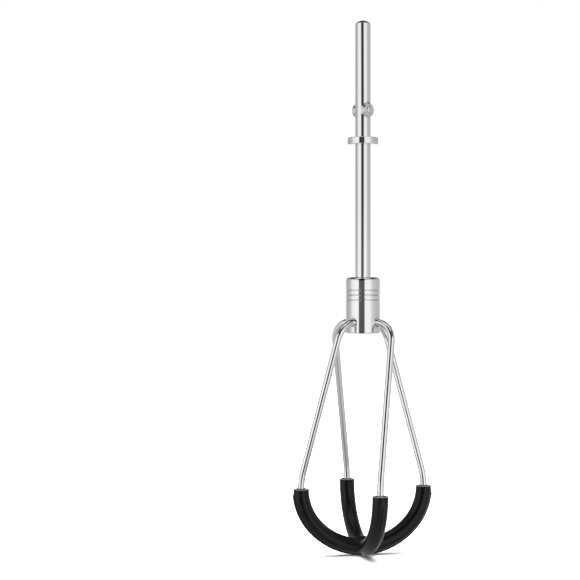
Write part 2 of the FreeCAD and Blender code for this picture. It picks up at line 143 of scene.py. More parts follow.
# Soft boxes that gloss sees round the horizon: degrees from the camera's side, level
SOFT_BOXES = (
    (-180, 1.05), (-160, 0.85), (-148, 0.54), (-126, 0.42), (-104, 0.52), (-88, 0.66),
    (-77, 0.98), (-60, 1.04), (-44, 1.12), (-29.5, 1.06), (-25.5, 0.06), (9.5, 0.05),
    (13.5, 1.06), (46, 1.08), (58, 0.86), (72, 0.66), (100, 0.54), (146, 0.52), (160, 0.85),
    (180, 1.05))
WIDE_GAP = ((-180, 1.0), (-38, 1.0), (-33, 0.08), (14, 0.08), (19, 1.0))

# Bands of that light, by the height of a direction: 0 is level, 1 is straight up
GAP_WIDENS = (0.20, 0.27)
WALL_STARTS = (0.26, 0.36)
HAZE_BAND = (0.0, 0.07)
SIDE_BOXES_STOP = (0.55, 0.62)
TOP_BOX_STARTS = (0.84, 0.90)
GROUND_STOPS = (-0.44, -0.36)

# Levels in those bands, and the turn at which the wall behind starts
WALL_TURN = (math.radians(135), math.radians(155))
WALL_SHADE = 0.88
HAZE_LEVEL = 0.085
OVER_SIDE_BOXES = 0.14
TOP_BOX_LEVEL = 1.1
BRIGHTEST_BOX = 1.1
GROUND_LEVELS = (0.31, 0.56)

# Floor: half its width, its paper, and the glow that the camera sees by distance from the axis
FLOOR_HALF = 6.0
PAPER = (0.86, 0.86, 0.86, 1)
# The glow is weakest near the axis, so the floor round the foot gets painted shade
NEAR_SPAN, NEAR_GLOW = (0.004, 0.030), (0.06, 0.30)
FAR_SPAN, FAR_GLOW = (0.030, 0.35), (0.0, 0.60)

# Lamp and camera; the frame and the focal length are in pixels
LAMP_DIAMETER = 0.95
LAMP_HEIGHT = 0.75
CLIP_START, CLIP_END = 0.01, 30
HALF_FRAME, FOCAL_LENGTH = 290, 1370


# Sizes and colours that a user may change
class BeaterSizes(bpy.types.PropertyGroup):
    """Sizes of the wires and of the moulded edge."""

    wire_diameter: bpy.props.FloatProperty(
        name="Wire Diameter", description="Diameter of the drawn wire",
        default=2.4 * MM, unit="LENGTH")
    leg_twist: bpy.props.FloatProperty(
        name="Leg Twist", description="Turn of a wire from the moulded edge up to the hub",
        default=math.radians(40.1), subtype="ANGLE")
    elbow_reach: bpy.props.FloatProperty(
        name="Elbow Reach", description="Axis out to the corner of a wire's upper bend",
        default=12.7 * MM, unit="LENGTH")
    elbow_radius: bpy.props.FloatProperty(
        name="Elbow Radius", description="Radius of a wire's upper bend",
        default=7.4 * MM, unit="LENGTH")
    ankle_rise: bpy.props.FloatProperty(
        name="Ankle Rise", description="Moulded edge's end up to the corner of a wire's lower bend",
        default=3.2 * MM, unit="LENGTH")
    half_width: bpy.props.FloatProperty(
        name="Cage Half Width", description="Axis out to a wire at the moulded edge's end",
        default=22.5 * MM, unit="LENGTH")
    crossing_gap: bpy.props.FloatProperty(
        name="Crossing Gap", description="Gap between the two wires where they cross",
        default=0.3 * MM, unit="LENGTH")
    edge_diameter: bpy.props.FloatProperty(
        name="Edge Diameter", description="Diameter of the round moulded edge",
        default=5.5 * MM, unit="LENGTH")
    side_radius: bpy.props.FloatProperty(
        name="Side Radius", description="Radius of the edge's bends at its sides",
        default=19.7 * MM, unit="LENGTH")
    bottom_angle: bpy.props.FloatProperty(
        name="Bottom Angle", description="Half of the angle that the edge's flatter bottom spans",
        default=math.radians(47.0), subtype="ANGLE")
    rim_rise: bpy.props.FloatProperty(
        name="Rim Rise", description="Height of the wiping rim", default=0.45 * MM, unit="LENGTH")
    rim_width: bpy.props.FloatProperty(
        name="Rim Width", description="Width of the wiping rim", default=1.3 * MM, unit="LENGTH")
    rim_tip_round: bpy.props.FloatProperty(
        name="Rim Tip Round", description="Round along the rim's outer edges",
        default=0.22 * MM, unit="LENGTH")
    rim_root_round: bpy.props.FloatProperty(
        name="Rim Root Round", description="Valley between the rim and the round edge",
        default=0.4 * MM, unit="LENGTH")
    rim_start: bpy.props.FloatProperty(
        name="Rim Start", description="Edge's end down to where the rim starts to rise",
        default=0.8 * MM, unit="LENGTH")
    rim_ramp: bpy.props.FloatProperty(
        name="Rim Ramp", description="Height over which the rim rises",
        default=2.0 * MM, unit="LENGTH")
    recess_diameter: bpy.props.FloatProperty(
        name="Recess Diameter", description="Recess round the wire at an end of the edge",
        default=3.7 * MM, unit="LENGTH")
    recess_depth: bpy.props.FloatProperty(
        name="Recess Depth", description="Depth of that recess", default=0.5 * MM, unit="LENGTH")
    crown_radius: bpy.props.FloatProperty(
        name="Crown Radius", description="Radius of the soft knot over the crossing",
        default=3.3 * MM, unit="LENGTH")
    crown_rise: bpy.props.FloatProperty(
        name="Crown Rise", description="Knot's centre over the edge's centre line",
        default=0.3 * MM, unit="LENGTH")


class BeaterColours(bpy.types.PropertyGroup):
    """Colours of the finishes."""

    turned_steel: bpy.props.FloatVectorProperty(
        name="Turned Steel", description="Colour of the shaft, collar and hub",
        size=3, subtype="COLOR", default=(0.80, 0.80, 0.81))
    drawn_wire: bpy.props.FloatVectorProperty(
        name="Drawn Wire", description="Colour of the wires",
        size=3, subtype="COLOR", default=(0.86, 0.86, 0.87))
    silicone: bpy.props.FloatVectorProperty(
        name="Silicone", description="Colour of the moulded edge",
        size=3, subtype="COLOR", default=(0.0022, 0.0022, 0.0025))


class BeaterStudio(bpy.types.PropertyGroup):
    """Camera and light."""

    camera_place: bpy.props.FloatVectorProperty(
        name="Camera Place", description="Where the camera stands", size=3, subtype="XYZ",
        default=(-0.1283, -0.4707, -0.09457))
    camera_heading: bpy.props.FloatProperty(
        name="Camera Heading", description="Turn of the camera's level view from +Y towards +X",
        default=math.radians(12.2), subtype="ANGLE")
    field_of_view: bpy.props.FloatProperty(
        name="Field of View", description="The camera's angle of view",
        default=2 * math.atan(HALF_FRAME / FOCAL_LENGTH), subtype="ANGLE")
    world_level: bpy.props.FloatProperty(
        name="World Level", description="Strength of the even light from all round", default=0.32)
    top_lamp_power: bpy.props.FloatProperty(
        name="Top Lamp Power", description="Power of the soft lamp overhead",
        default=18.0, unit="POWER")


def settings():
    scene = bpy.context.scene
    return scene.beater_sizes, scene.beater_colours, scene.beater_studio


# Helpers for node trees
def link(tree, source, output, target, socket):
    tree.links.new(source.outputs[output], target.inputs[socket])


def math_node(tree, operation, first, second=None):
    """A math node fed by sockets or plain numbers; gives its output socket."""
    node = tree.nodes.new("ShaderNodeMath")
    node.operation = operation
    for socket, value in zip(node.inputs, (first, second)):
        if isinstance(value, bpy.types.NodeSocket):
            tree.links.new(value, socket)
        elif value is not None:
            socket.default_value = value
    return node.outputs[0]


def new_material(name):
    """A node material with only a Principled shader, and that shader."""
    material = bpy.data.materials.new(name)
    material.use_nodes = True
    shader = material.node_tree.nodes["Principled BSDF"]
    return material, material.node_tree, shader


def grain_vector(tree, coordinates, scale):
    """Coordinates stretched for a directional grain."""
    mapping = tree.nodes.new("ShaderNodeMapping")
    mapping.inputs["Scale"].default_value = scale
    tree.links.new(coordinates, mapping.inputs["Vector"])
    return mapping.outputs["Vector"]


def noise(tree, vector, scale, detail, roughness=0.5):
    """A noise texture's value."""
    node = tree.nodes.new("ShaderNodeTexNoise")
    node.inputs["Scale"].default_value = scale
    node.inputs["Detail"].default_value = detail
    node.inputs["Roughness"].default_value = roughness
    tree.links.new(vector, node.inputs["Vector"])
    return node.outputs["Fac"]


def map_range(tree, value, span, new_span):
    """A value moved from one span to another, clamped."""
    node = tree.nodes.new("ShaderNodeMapRange")
    for name, number in zip(("From Min", "From Max", "To Min", "To Max"), (*span, *new_span)):
        node.inputs[name].default_value = number
    tree.links.new(value, node.inputs["Value"])
    return node.outputs["Result"]


def tone(tree, value, dark, light):
    """Two colours mixed by a value."""
    node = tree.nodes.new("ShaderNodeMix")
    node.data_type = "RGBA"
    node.inputs["A"].default_value = (*dark, 1)
    node.inputs["B"].default_value = (*light, 1)
    tree.links.new(value, node.inputs["Factor"])
    return node.outputs["Result"]


def bump(tree, height, strength, distance):
    """A bump from a height value."""
    node = tree.nodes.new("ShaderNodeBump")
    node.inputs["Strength"].default_value = strength
    node.inputs["Distance"].default_value = distance
    tree.links.new(height, node.inputs["Height"])
    return node.outputs["Normal"]


def toned(colour, share):
    """A colour made darker or lighter."""
    return tuple(channel * share for channel in colour)


# Finishes
def object_coordinates(tree):
    return tree.nodes.new("ShaderNodeTexCoord").outputs["Object"]


def wire_grain_coordinates(tree):
    """The wires' own coordinates: round the wire in X and Y, along it in Z."""
    node = tree.nodes.new("ShaderNodeAttribute")
    node.attribute_type = "GEOMETRY"
    node.attribute_name = "wire_grain"
    return node.outputs["Vector"]


def steel_finish(name, colour, grain_coordinates, grain_stretch, roughness):
    """Bright stainless steel with a fine grain, faint cloudiness and a few handling marks."""
    material, tree, shader = new_material(name)
    shader.inputs["Metallic"].default_value = 1.0
    place = object_coordinates(tree)
    grain_place = grain_vector(tree, grain_coordinates(tree), grain_stretch)
    grain = noise(tree, grain_place, scale=1.0, detail=3.0, roughness=0.6)
    cloud = noise(tree, place, scale=140.0, detail=2.0)
    mark_place = grain_vector(tree, place, MARK_STRETCH)
    marks = noise(tree, mark_place, scale=1.0, detail=5.0, roughness=0.7)
    blend = math_node(
        tree, "ADD", math_node(tree, "MULTIPLY", grain, GRAIN_PART),
        math_node(tree, "MULTIPLY", cloud, CLOUD_PART))
    tree.links.new(
        tone(tree, blend, toned(colour, DARKEST_STEEL), colour), shader.inputs["Base Color"])
    rough = math_node(
        tree, "ADD", map_range(tree, blend, NOISE_SPAN, roughness),
        math_node(tree, "MULTIPLY", map_range(tree, marks, MARK_SPAN, WHOLE), MARK_ROUGHNESS))
    tree.links.new(rough, shader.inputs["Roughness"])
    tree.links.new(bump(tree, grain, *GRAIN_BUMP), shader.inputs["Normal"])
    return material


def turned_steel_finish(colour):
    return steel_finish(
        "turned_steel", colour, object_coordinates,
        grain_stretch=(60.0, 60.0, 9000.0), roughness=(0.06, 0.11))


def drawn_wire_finish(colour):
    return steel_finish(
        "drawn_wire", colour, wire_grain_coordinates,
        grain_stretch=(5200.0, 5200.0, 40.0), roughness=(0.03, 0.06))


def silicone_finish(colour):
    """Satin black silicone with the faint orange peel of its mould; its lips get a painted
    highlight.
    """
    material, tree, shader = new_material("moulded_silicone")
    place = object_coordinates(tree)
    peel = noise(tree, place, scale=2600.0, detail=3.0, roughness=0.55)
    haze = noise(tree, place, scale=160.0, detail=3.0)
    painted_highlight = tree.nodes.new("ShaderNodeAttribute")
    painted_highlight.attribute_type = "GEOMETRY"
    painted_highlight.attribute_name = "painted_highlight"
    # A paler colour on the lips and ends: a painted highlight
    edges = tone(tree, painted_highlight.outputs["Fac"], colour, HIGHLIGHT_COLOUR)
    cloudy = tone(
        tree, haze, toned(colour, DARKEST_SILICONE), toned(colour, LIGHTEST_SILICONE))
    tree.links.new(cloudy, edges.node.inputs["A"])
    tree.links.new(edges, shader.inputs["Base Color"])
    rough = map_range(tree, haze, NOISE_SPAN, SILICONE_ROUGHNESS)
    tree.links.new(rough, shader.inputs["Roughness"])
    tree.links.new(bump(tree, peel, *PEEL_BUMP), shader.inputs["Normal"])
    shader.inputs["Specular IOR Level"].default_value = 0.36
    shader.inputs["Sheen Weight"].default_value = 0.45
    shader.inputs["Sheen Roughness"].default_value = 0.14
    shader.inputs["IOR"].default_value = 1.43
    return material


# Centre lines of the wires and of the moulded edge
def arc_points(centre, start, end, count):
    """Points on the arc round a centre from a start to an end, without the start itself."""
    first, last = start - centre, end - centre
    normal = first.cross(last).normalized()
    turn = first.angle(last)
    return [
        centre + Matrix.Rotation(turn * step / count, 3, normal) @ first
        for step in range(1, count + 1)]


def corner_arc(corner, incoming, outgoing, setback, count):
    """Start of a rounded corner and the points round it."""
    turn = incoming.angle(outgoing)
    radius = setback / math.tan(turn / 2)
    start, end = corner - incoming * setback, corner + outgoing * setback
    inward = (outgoing - incoming).normalized()
    centre = corner + inward * (radius / math.cos(turn / 2))
    return [start] + arc_points(centre, start, end, count)


def bottom_shape(sizes, side_radius):
    """Shape of the flatter bottom for a side radius.

    Gives the rest of the half width, the bottom's radius and the height of its centre.
    """
    rest = sizes.half_width - side_radius
    gain = rest / math.sin(sizes.bottom_angle)
    return rest, side_radius + gain, CAGE_END + gain * math.cos(sizes.bottom_angle)


def wire_side_radius(sizes, side):
    """Side radius of the wire under (1) or over (-1) the moulded edge's centre line."""
    stagger = (sizes.wire_diameter + sizes.crossing_gap) / 2
    return sizes.side_radius + side * stagger / (1 - math.tan(sizes.bottom_angle / 2))


def loop_points(sizes, side_radius):
    """A wire's centre line from one hole of the hub down, through the XZ plane and up again."""
    outward = Vector((math.cos(sizes.leg_twist), math.sin(sizes.leg_twist), 0))
    level = UP * HOLE_HEIGHT
    elbow = outward * sizes.elbow_reach + level
    ankle = Vector((sizes.half_width, 0, CAGE_END + sizes.ankle_rise))
    leg = (ankle - elbow).normalized()
    setback = sizes.elbow_radius * math.tan(outward.angle(leg) / 2)
    half = [outward * WIRE_HOLE_FLOOR + level]
    half += corner_arc(elbow, outward, leg, setback, ELBOW_STEPS)
    half += corner_arc(ankle, leg, -UP, sizes.ankle_rise, ANKLE_STEPS)
    rest, bottom_radius, bottom_height = bottom_shape(sizes, side_radius)
    side_sweep = QUARTER - sizes.bottom_angle
    for step in range(1, WIRE_ARC_STEPS + 1):
        angle = side_sweep * step / WIRE_ARC_STEPS
        out, down = side_radius * math.cos(angle), side_radius * math.sin(angle)
        half.append(Vector((rest + out, 0, CAGE_END - down)))
    for step in range(1, WIRE_ARC_STEPS):
        angle = sizes.bottom_angle * (1 - step / WIRE_ARC_STEPS)
        out, down = bottom_radius * math.sin(angle), bottom_radius * math.cos(angle)
        half.append(Vector((out, 0, bottom_height - down)))
    lowest = Vector((0, 0, bottom_height - bottom_radius))
    return half + [lowest] + [Vector((-p.x, -p.y, p.z)) for p in reversed(half)]


def path_object(name, points):
    """A plain open curve through points."""
    curve = bpy.data.curves.new(name, "CURVE")
    curve.dimensions = "3D"
    spline = curve.splines.new("POLY")
    spline.points.add(len(points) - 1)
    for knot, point in zip(spline.points, points):
        knot.co = (*point, 1)
    made = bpy.data.objects.new(name, curve)
    bpy.context.scene.collection.objects.link(made)
    return made


# Geometry Nodes: a round wire drawn along its centre line, with coordinates for its grain
def wire_tree(material):
    tree = bpy.data.node_groups.new("Drawn Wire", "GeometryNodeTree")
    tree.interface.new_socket("Geometry", in_out="INPUT", socket_type="NodeSocketGeometry")
    tree.interface.new_socket("Wire Diameter", in_out="INPUT", socket_type="NodeSocketFloat")
    tree.interface.new_socket("Facets Round", in_out="INPUT", socket_type="NodeSocketInt")
    tree.interface.new_socket("Geometry", in_out="OUTPUT", socket_type="NodeSocketGeometry")
    new = tree.nodes.new
    group_in, group_out = new("NodeGroupInput"), new("NodeGroupOutput")
    radius = math_node(tree, "MULTIPLY", group_in.outputs["Wire Diameter"], 0.5)

    along = new("GeometryNodeSplineParameter")
    keep_along = new("GeometryNodeCaptureAttribute")
    keep_along.domain = "POINT"
    keep_along.capture_items.new("FLOAT", "Along")
    link(tree, group_in, "Geometry", keep_along, "Geometry")
    tree.links.new(along.outputs["Length"], keep_along.inputs["Along"])

    circle = new("GeometryNodeCurvePrimitiveCircle")
    circle.mode = "RADIUS"
    link(tree, group_in, "Facets Round", circle, "Resolution")
    tree.links.new(radius, circle.inputs["Radius"])
    around = new("GeometryNodeInputPosition")
    keep_around = new("GeometryNodeCaptureAttribute")
    keep_around.domain = "POINT"
    keep_around.capture_items.new("VECTOR", "Around")
    link(tree, circle, "Curve", keep_around, "Geometry")
    tree.links.new(around.outputs["Position"], keep_around.inputs["Around"])

    sweep = new("GeometryNodeCurveToMesh")
    sweep.inputs["Fill Caps"].default_value = True
    link(tree, keep_along, "Geometry", sweep, "Curve")
    link(tree, keep_around, "Geometry", sweep, "Profile Curve")

    parts = new("ShaderNodeSeparateXYZ")
    tree.links.new(keep_around.outputs["Around"], parts.inputs["Vector"])
    grain = new("ShaderNodeCombineXYZ")
    link(tree, parts, "X", grain, "X")
    link(tree, parts, "Y", grain, "Y")
    tree.links.new(keep_along.outputs["Along"], grain.inputs["Z"])
    store = new("GeometryNodeStoreNamedAttribute")
    store.data_type = "FLOAT_VECTOR"
    store.domain = "POINT"
    store.inputs["Name"].default_value = "wire_grain"
    link(tree, sweep, "Mesh", store, "Geometry")
    tree.links.new(grain.outputs["Vector"], store.inputs["Value"])

    smooth = new("GeometryNodeSetShadeSmooth")
    link(tree, store, "Geometry", smooth, "Geometry")
    realize = new("GeometryNodeRealizeInstances")
    link(tree, smooth, "Geometry", realize, "Geometry")
    paint = new("GeometryNodeSetMaterial")
    paint.inputs["Material"].default_value = material
    link(tree, realize, "Geometry", paint, "Geometry")
    link(tree, paint, "Geometry", group_out, "Geometry")
    return tree


def set_input(modifier, name, value):
    """Sets one input of a Geometry Nodes modifier by its socket's identifier."""
    for item in modifier.node_group.interface.items_tree:
        if item.item_type == "SOCKET" and item.in_out == "INPUT" and item.name == name:
            modifier[item.identifier] = value


def join_rows(built, rows):
    """Quads between rows of points, each row closed on itself."""
    for row, following in zip(rows, rows[1:]):
        for index in range(len(row)):
            after = (index + 1) % len(row)
            built.faces.new((row[index], row[after], following[after], following[index]))


def smooth_mesh(name, built, material):
    """The built faces as a plain smooth mesh, all pointing outwards."""
    bmesh.ops.recalc_face_normals(built, faces=built.faces)
    for face in built.faces:
        face.smooth = True
    mesh = bpy.data.meshes.new(name)
    built.to_mesh(mesh)
    built.free()
    mesh.materials.append(material)
    return mesh


def add_piece(name, mesh, slot, *nodes):
    """A finished mesh as a piece that rides on the body and replaces any CAD nodes named."""
    piece = bpy.data.objects.new(name, mesh)
    bpy.context.scene.collection.objects.link(piece)
    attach(piece, BODY)
    if nodes:
        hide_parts(*nodes)


def make_lug_buttons(material):
    """The low domed button that the coining die leaves on the face of each lug."""
    line = Vector((-math.sin(LUG_TURN), math.cos(LUG_TURN), 0))
    across = line.cross(UP)
    turns = [2 * math.pi * step / BUTTON_FACETS for step in range(BUTTON_FACETS)]
    rays = [across * math.cos(turn) + UP * math.sin(turn) for turn in turns]
    built = bmesh.new()
    for side in (1, -1):
        foot = line * side * LUG_REACH - UP * LUG_DROP
        rows = []
        for radius, height in LUG_BUTTON:
            centre = foot + line * side * height
            rows.append([built.verts.new(centre + ray * radius) for ray in rays])
        join_rows(built, rows)
        built.faces.new(rows[0])
        built.faces.new(rows[-1])
    add_piece("lug_buttons", smooth_mesh("lug_buttons", built, material), "steel_turned")


def make_wire(name, node, points, diameter, tree, material):
    """A wire made by its node tree, kept as a plain mesh."""
    path = path_object(f"{name}_path", points)
    modifier = path.modifiers.new("Wire", "NODES")
    modifier.node_group = tree
    set_input(modifier, "Wire Diameter", diameter)
    set_input(modifier, "Facets Round", WIRE_FACETS)
    evaluated = path.evaluated_get(bpy.context.evaluated_depsgraph_get())
    mesh = bpy.data.meshes.new_from_object(evaluated)
    mesh.name = name
    if not mesh.materials:
        mesh.materials.append(material)
    bpy.data.objects.remove(path)
    bent = bmesh.new()
    bent.from_mesh(mesh)
    bmesh.ops.remove_doubles(bent, verts=bent.verts, dist=WIRE_MERGE)
    bmesh.ops.recalc_face_normals(bent, faces=bent.faces)
    bent.to_mesh(mesh)
    bent.free()
    add_piece(name, mesh, "steel_wire", node)


# Moulded edge
def smooth_step(share):
    """A share clamped to 0 to 1, with a soft start and end."""
    share = min(1.0, max(0.0, share))
    return share * share * (3 - 2 * share)


def edge_section(sizes):
    """The edge's section from its inner side round over the rim's crest and back.

    Each point is (outward, sideways, outward on the plain round edge).
    """
    radius = sizes.edge_diameter / 2
    half_rim, root, tip = sizes.rim_width / 2, sizes.rim_root_round, sizes.rim_tip_round
    crest = radius + sizes.rim_rise
    valley_out = math.sqrt((radius + root) ** 2 - (half_rim + root) ** 2)
    valley_angle = math.atan2(half_rim + root, valley_out)
    half = []
    for step in range(SECTION_STEPS + 1):
        angle = math.pi + (valley_angle - math.pi) * step / SECTION_STEPS
        half.append((radius * math.cos(angle), radius * math.sin(angle)))
    for step in range(1, CORNER_STEPS + 1):
        angle = math.pi + valley_angle + (QUARTER - valley_angle) * step / CORNER_STEPS
        half.append((valley_out + root * math.cos(angle), half_rim + root + root * math.sin(angle)))
    for step in range(1, CORNER_STEPS + 1):
        angle = QUARTER * (1 - step / CORNER_STEPS)
        half.append((crest - tip + tip * math.cos(angle), half_rim - tip + tip * math.sin(angle)))
    half.append((crest, (half_rim - tip) / 2))
    half.append((crest, 0.0))
    points = []
    for out, aside in half:
        if out < 0:
            plain = out
        else:
            plain = math.sqrt(max(radius * radius - aside * aside, 0.0))
        points.append((out, max(aside, 0.0), plain))
    return points + [(out, -aside, plain) for out, aside, plain in reversed(points[1:-1])]


def edge_rings(sizes):
    """Rings of the arm on +X, from its recess over its end down to the crossing's diagonals.

    Also gives how strongly each of the first rings is painted with a highlight.
    """
    radius = sizes.edge_diameter / 2
    section = edge_section(sizes)
    rest, bottom_radius, bottom_height = bottom_shape(sizes, sizes.side_radius)
    rings, painted_highlight = [], []

    def level_ring(ring_radius, depth, highlight_level=0.0):
        ring = []
        painted_highlight.append(highlight_level)
        for _, aside, plain in section:
            angle = math.atan2(aside, plain)
            out, along = ring_radius * math.cos(angle), ring_radius * math.sin(angle)
            ring.append(Vector((sizes.half_width + out, along, CAGE_END - depth)))
        rings.append(ring)

    lip = LIP_ROUND
    recess = sizes.recess_diameter / 2
    level_ring(sizes.wire_diameter / 2 + WIRE_CLEARANCE, sizes.recess_depth)
    level_ring(recess - RECESS_EASE, sizes.recess_depth)
    level_ring(recess, sizes.recess_depth - RECESS_BEVEL)
    level_ring(recess, RECESS_BEVEL)
    level_ring(recess + MOUTH_OUT, MOUTH_DOWN)
    # The mouth, the flat end and the lip are painted paler: a painted highlight
    level_ring(recess + RECESS_EASE, 0.0, HIGHLIGHT_MOUTH)
    level_ring(radius - lip, 0.0, HIGHLIGHT_FLAT)
    for step in range(1, LIP_STEPS):
        angle = QUARTER * step / LIP_STEPS
        level_ring(
            radius - lip + lip * math.sin(angle), lip - lip * math.cos(angle), HIGHLIGHT_LIP)

    def grown(depth):
        """How far the rim has risen at a depth below the arm's end."""
        return smooth_step((depth - sizes.rim_start) / sizes.rim_ramp)

    first = math.asin(lip / sizes.side_radius)
    side_sweep = QUARTER - sizes.bottom_angle
    for step in range(ARM_SIDE_STEPS + 1):
        angle = first + (side_sweep - first) * step / ARM_SIDE_STEPS
        share = grown(sizes.side_radius * math.sin(angle))
        ring = []
        for out, aside, plain in section:
            reach = sizes.side_radius + plain + (out - plain) * share
            level, down = reach * math.cos(angle), reach * math.sin(angle)
            ring.append(Vector((rest + level, aside, CAGE_END - down)))
        rings.append(ring)
    for step in range(1, ARM_BOTTOM_STEPS + 1):
        ring = []
        for out, aside, _ in section:
            reach = bottom_radius + out
            last = math.asin(abs(aside) / reach)
            angle = sizes.bottom_angle + (last - sizes.bottom_angle) * step / ARM_BOTTOM_STEPS
            level, down = reach * math.sin(angle), reach * math.cos(angle)
            ring.append(Vector((level, aside, bottom_height - down)))
        rings.append(ring)
    return rings, painted_highlight


def channel_rings(sizes, side_radius, section):
    """Rings of a wire's channel through the edge, in the XZ plane."""
    rest, bottom_radius, bottom_height = bottom_shape(sizes, side_radius)
    channel = sizes.wire_diameter / 2 + WIRE_CLEARANCE
    side_sweep = QUARTER - sizes.bottom_angle
    start = math.asin(sizes.recess_depth / side_radius)
    frames = [(Vector((sizes.half_width, 0, CAGE_END - sizes.recess_depth)), Vector((1, 0, 0)))]
    for step in range(1, CHANNEL_STEPS + 1):
        angle = start + (side_sweep - start) * step / CHANNEL_STEPS
        outward = Vector((math.cos(angle), 0, -math.sin(angle)))
        frames.append((Vector((rest, 0, CAGE_END)) + outward * side_radius, outward))
    for step in range(1, 2 * CHANNEL_STEPS):
        angle = sizes.bottom_angle * (1 - step / CHANNEL_STEPS)
        outward = Vector((math.sin(angle), 0, -math.cos(angle)))
        frames.append((Vector((0, 0, bottom_height)) + outward * bottom_radius, outward))
    first_side = frames[:CHANNEL_STEPS + 1]
    mirrored = [(Vector((-c.x, 0, c.z)), Vector((-o.x, 0, o.z))) for c, o in reversed(first_side)]
    rings = []
    for centre, outward in frames + mirrored:
        ring = []
        for _, aside, plain in section:
            angle = math.atan2(aside, plain)
            across = Vector((0, channel * math.sin(angle), 0))
            ring.append(centre + outward * (channel * math.cos(angle)) + across)
        rings.append(ring)
    return rings


def stitch(mesh, rings, turn, painted_highlight=()):
    """Adds rings of points to a mesh as a band of quads, turned about the axis, with highlight
    levels.
    """
    spin = Matrix.Rotation(turn, 3, "Z")
    rows = [[mesh.verts.new(spin @ point) for point in ring] for ring in rings]
    highlight_level = mesh.verts.layers.float["painted_highlight"]
    for row, level in zip(rows, painted_highlight):
        for vert in row:
            vert[highlight_level] = level
    join_rows(mesh, rows)


def soften_crossing(mesh, sizes):
    """Rounds the creases between the arms and raises the knot over the crossing."""
    _, bottom_radius, bottom_height = bottom_shape(sizes, sizes.side_radius)
    crossing = Vector((0, 0, bottom_height - bottom_radius))
    rim_level = crossing.z - sizes.edge_diameter * RIM_SHARE
    near = []
    for vert in mesh.verts:
        away = (vert.co - crossing).length
        if away < CROSSING_REACH and vert.co.z > rim_level and not vert.tag:
            near.append((vert, smooth_step(CROSSING_FULLNESS * (1 - away / CROSSING_REACH))))
    for _ in range(CROSSING_ROUNDS):
        moved = []
        for vert, weight in near:
            around = [edge.other_vert(vert).co for edge in vert.link_edges]
            middle = sum(around, Vector()) / len(around)
            moved.append(vert.co.lerp(middle, CROSSING_PULL * weight))
        for (vert, _), place in zip(near, moved):
            vert.co = place
    knot = crossing + UP * sizes.crown_rise
    for vert, _ in near:
        out = vert.co - knot
        away = out.length
        gap = math.sqrt((away - sizes.crown_radius) ** 2 + KNOT_BLEND * KNOT_BLEND)
        lift = 0.5 * (away + sizes.crown_radius + gap)
        if out.z > 0 and away < sizes.crown_radius + sizes.wire_diameter:
            fade = smooth_step(out.z / KNOT_FADE)
            vert.co = knot + out * (1 + (lift / away - 1) * fade)


def make_moulded_edge(sizes, material):
    rings, painted_highlight = edge_rings(sizes)
    section = edge_section(sizes)
    built = bmesh.new()
    built.verts.layers.float.new("painted_highlight")
    for turn, side in ((0.0, 1), (QUARTER, -1)):
        stitch(built, channel_rings(sizes, wire_side_radius(sizes, side), section), turn)
    for vert in built.verts:
        vert.tag = True
    for arm in range(ARMS):
        stitch(built, rings, QUARTER * arm, painted_highlight)
    bmesh.ops.remove_doubles(built, verts=built.verts, dist=EDGE_MERGE)
    soften_crossing(built, sizes)
    bmesh.ops.dissolve_degenerate(built, edges=built.edges, dist=SHORTEST_EDGE)
    open_edges = [edge for edge in built.edges if not edge.is_manifold]
    if open_edges:
        raise RuntimeError(f"the moulded edge has {len(open_edges)} open edges")
    mesh = smooth_mesh("moulded_edge", built, material)
    add_piece("moulded_edge", mesh, "silicone_black", "flex_edge")


# Studio
def horizon_levels(tree, share, stops):
    """Grey levels round the horizon, each at its angle in degrees."""
    ramp = tree.nodes.new("ShaderNodeValToRGB")
    tree.links.new(share, ramp.inputs["Fac"])
    elements = ramp.color_ramp.elements
    while len(elements) > 1:
        elements.remove(elements[-1])
    for index, (angle, level) in enumerate(stops):
        position = (angle + 180) / 360
        element = elements.new(position) if index else elements[0]
        element.position = position
        element.color = (level,) * 3 + (1,)
    return ramp.outputs["Color"]


